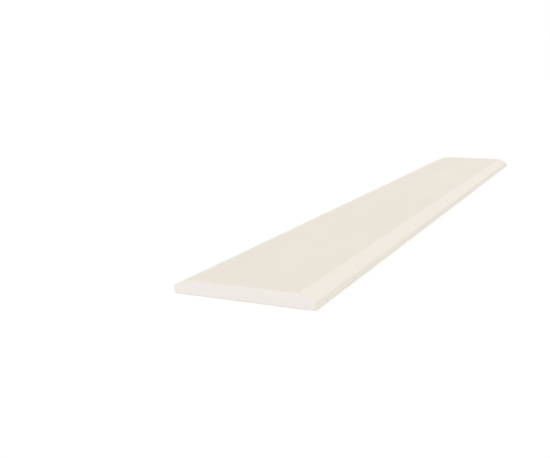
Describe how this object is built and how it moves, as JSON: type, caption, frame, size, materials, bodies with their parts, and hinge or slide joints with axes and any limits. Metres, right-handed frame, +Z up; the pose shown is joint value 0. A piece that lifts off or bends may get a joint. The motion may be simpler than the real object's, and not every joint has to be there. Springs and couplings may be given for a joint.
{
  "type": "threshold saddle",
  "caption": "Flat threshold saddle with a long shallow bevel down each side, laid in a doorway to cover the joint between two floors.",
  "frame": {"origin": "middle of the underside, on the floor", "axes": "+X along the saddle's length, jamb to jamb; +Y across it, from one room to the other; +Z up out of the tread"},
  "size_m": [0.9144, 0.127, 0.0127],
  "materials": {
    "cream_solid_surface": "fine sanded satin, plain cream all through"
  },
  "bodies": {
    "root": {"threshold_saddle": "cream_solid_surface"}
  },
  "joints": []
}
